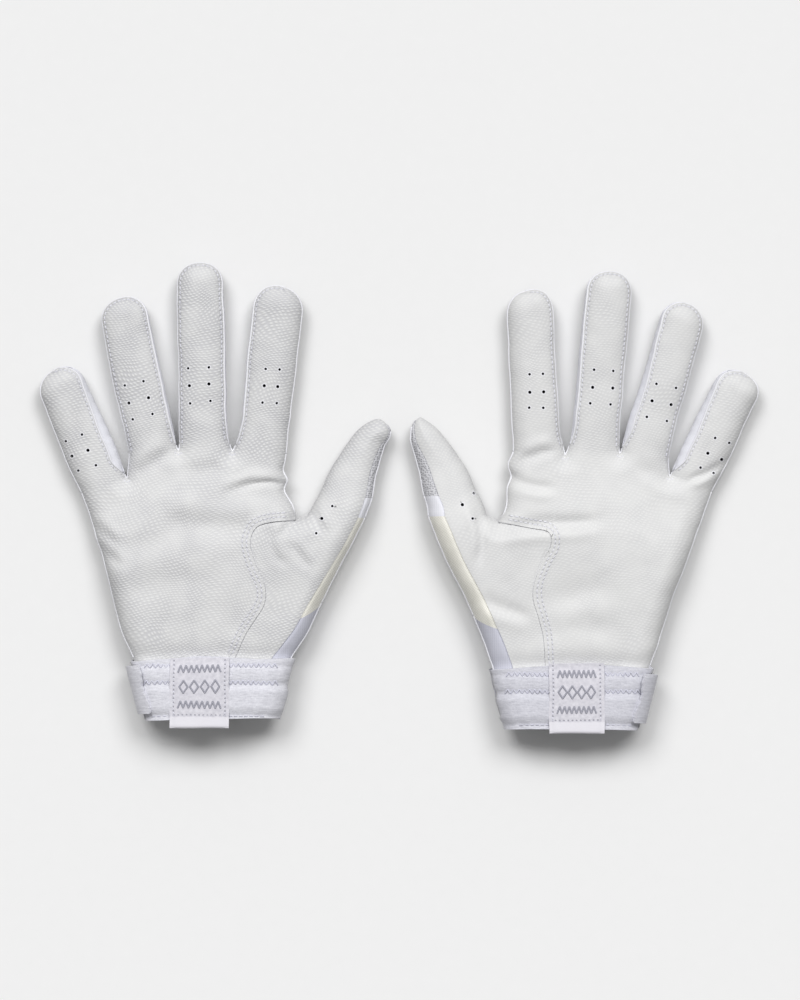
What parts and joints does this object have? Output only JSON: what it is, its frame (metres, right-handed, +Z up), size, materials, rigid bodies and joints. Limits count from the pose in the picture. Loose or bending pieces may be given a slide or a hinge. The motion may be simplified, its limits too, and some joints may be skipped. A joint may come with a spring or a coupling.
{
  "type": "pair of batting gloves",
  "caption": "Right and left leather-palm batting gloves, palms up, with folding fingers and thumb, elastic cuff, wrist strap and pull tab.",
  "frame": {"origin": "middle of the pair's footprint, on the surface the gloves lie on", "axes": "+Z up from the backs to the palms, +Y from the wrists to the fingertips, +X from the right-hand glove to the left-hand glove"},
  "size_m": [0.3434, 0.2268, 0.0236],
  "materials": {
    "palm_leather": "embossed, matt",
    "patch_leather": "stippled, matt",
    "knit": "fine knit",
    "mesh": "open mesh",
    "elastic": "ribbed elastic",
    "label": "woven",
    "hook_and_loop": "brushed"
  },
  "bodies": {
    "right_hand": {"right_palm_panel": "palm_leather", "right_thumb_base_panel": "palm_leather", "right_back_panel": "knit", "right_thumb_gusset": "knit", "right_thumb_mesh": "mesh", "right_cuff_band": "elastic", "right_pull_tab": "label", "right_loop_patch": "hook_and_loop", "right_strap_anchor": "elastic"},
    "right_little": {"right_little_front": "palm_leather", "right_little_back": "knit", "right_little_inner_wall": "knit"},
    "right_ring": {"right_ring_front": "palm_leather", "right_ring_back": "knit", "right_ring_outer_wall": "knit", "right_ring_inner_wall": "knit"},
    "right_middle": {"right_middle_front": "palm_leather", "right_middle_back": "knit", "right_middle_outer_wall": "knit", "right_middle_inner_wall": "knit"},
    "right_index": {"right_index_front": "palm_leather", "right_index_back": "knit", "right_index_outer_wall": "knit"},
    "right_thumb": {"right_thumb_front": "palm_leather", "right_thumb_back": "knit", "right_thumb_side_band": "knit", "right_thumb_tip_patch": "patch_leather"},
    "right_strap": {"right_closure_strap": "elastic", "right_hook_patch": "hook_and_loop"},
    "left_hand": {"left_palm_panel": "palm_leather", "left_thumb_base_panel": "palm_leather", "left_back_panel": "knit", "left_thumb_gusset": "knit", "left_thumb_mesh": "mesh", "left_cuff_band": "elastic", "left_pull_tab": "label", "left_loop_patch": "hook_and_loop", "left_strap_anchor": "elastic"},
    "left_little": {"left_little_front": "palm_leather", "left_little_back": "knit", "left_little_inner_wall": "knit"},
    "left_ring": {"left_ring_front": "palm_leather", "left_ring_back": "knit", "left_ring_outer_wall": "knit", "left_ring_inner_wall": "knit"},
    "left_middle": {"left_middle_front": "palm_leather", "left_middle_back": "knit", "left_middle_outer_wall": "knit", "left_middle_inner_wall": "knit"},
    "left_index": {"left_index_front": "palm_leather", "left_index_back": "knit", "left_index_outer_wall": "knit"},
    "left_thumb": {"left_thumb_front": "palm_leather", "left_thumb_back": "knit", "left_thumb_side_band": "knit", "left_thumb_tip_patch": "patch_leather"},
    "left_strap": {"left_closure_strap": "elastic", "left_hook_patch": "hook_and_loop"}
  },
  "joints": [
    {"name": "left_glove_lift", "type": "slide", "parent": "right_hand", "child": "left_hand", "axis": [0, 0, 1], "range_m": [0, 0.06]},
    {"name": "right_little_fold", "type": "hinge", "parent": "right_hand", "child": "right_little", "pos_m": [-0.14192, 0.00734, 0.014], "axis": [0.9347, 0.3554, 0], "range_deg": [0, 90]},
    {"name": "right_ring_fold", "type": "hinge", "parent": "right_hand", "child": "right_ring", "pos_m": [-0.11872, 0.02304, 0.014], "axis": [0.9869, 0.161, 0], "range_deg": [0, 90]},
    {"name": "right_middle_fold", "type": "hinge", "parent": "right_hand", "child": "right_middle", "pos_m": [-0.09357, 0.02504, 0.014], "axis": [1, 0.0038, 0], "range_deg": [0, 90]},
    {"name": "right_index_fold", "type": "hinge", "parent": "right_hand", "child": "right_index", "pos_m": [-0.06742, 0.02364, 0.014], "axis": [0.9938, -0.1113, 0], "range_deg": [0, 90]},
    {"name": "right_thumb_fold", "type": "hinge", "parent": "right_hand", "child": "right_thumb", "pos_m": [-0.03047, -0.00801, 0.0185], "axis": [0.9984, -0.0559, 0], "range_deg": [0, 70]},
    {"name": "right_strap_peel", "type": "hinge", "parent": "right_hand", "child": "right_strap", "pos_m": [-0.07757, -0.09001, 0], "axis": [0, -1, 0], "range_deg": [0, 160]},
    {"name": "left_little_fold", "type": "hinge", "parent": "left_hand", "child": "left_little", "pos_m": [0.14056, 0.00779, 0.014], "axis": [0.9187, -0.395, 0], "range_deg": [0, 90]},
    {"name": "left_ring_fold", "type": "hinge", "parent": "left_hand", "child": "left_ring", "pos_m": [0.11776, 0.02094, 0.014], "axis": [0.9761, -0.2174, 0], "range_deg": [0, 90]},
    {"name": "left_middle_fold", "type": "hinge", "parent": "left_hand", "child": "left_middle", "pos_m": [0.09286, 0.02399, 0.014], "axis": [0.9995, -0.0307, 0], "range_deg": [0, 90]},
    {"name": "left_index_fold", "type": "hinge", "parent": "left_hand", "child": "left_index", "pos_m": [0.06691, 0.02369, 0.014], "axis": [0.9985, 0.054, 0], "range_deg": [0, 90]},
    {"name": "left_thumb_fold", "type": "hinge", "parent": "left_hand", "child": "left_thumb", "pos_m": [0.02746, -0.00751, 0.0185], "axis": [0.9998, 0.0205, 0], "range_deg": [0, 70]},
    {"name": "left_strap_peel", "type": "hinge", "parent": "left_hand", "child": "left_strap", "pos_m": [0.06966, -0.09431, 0], "axis": [0, 1, 0], "range_deg": [0, 160]}
  ]
}
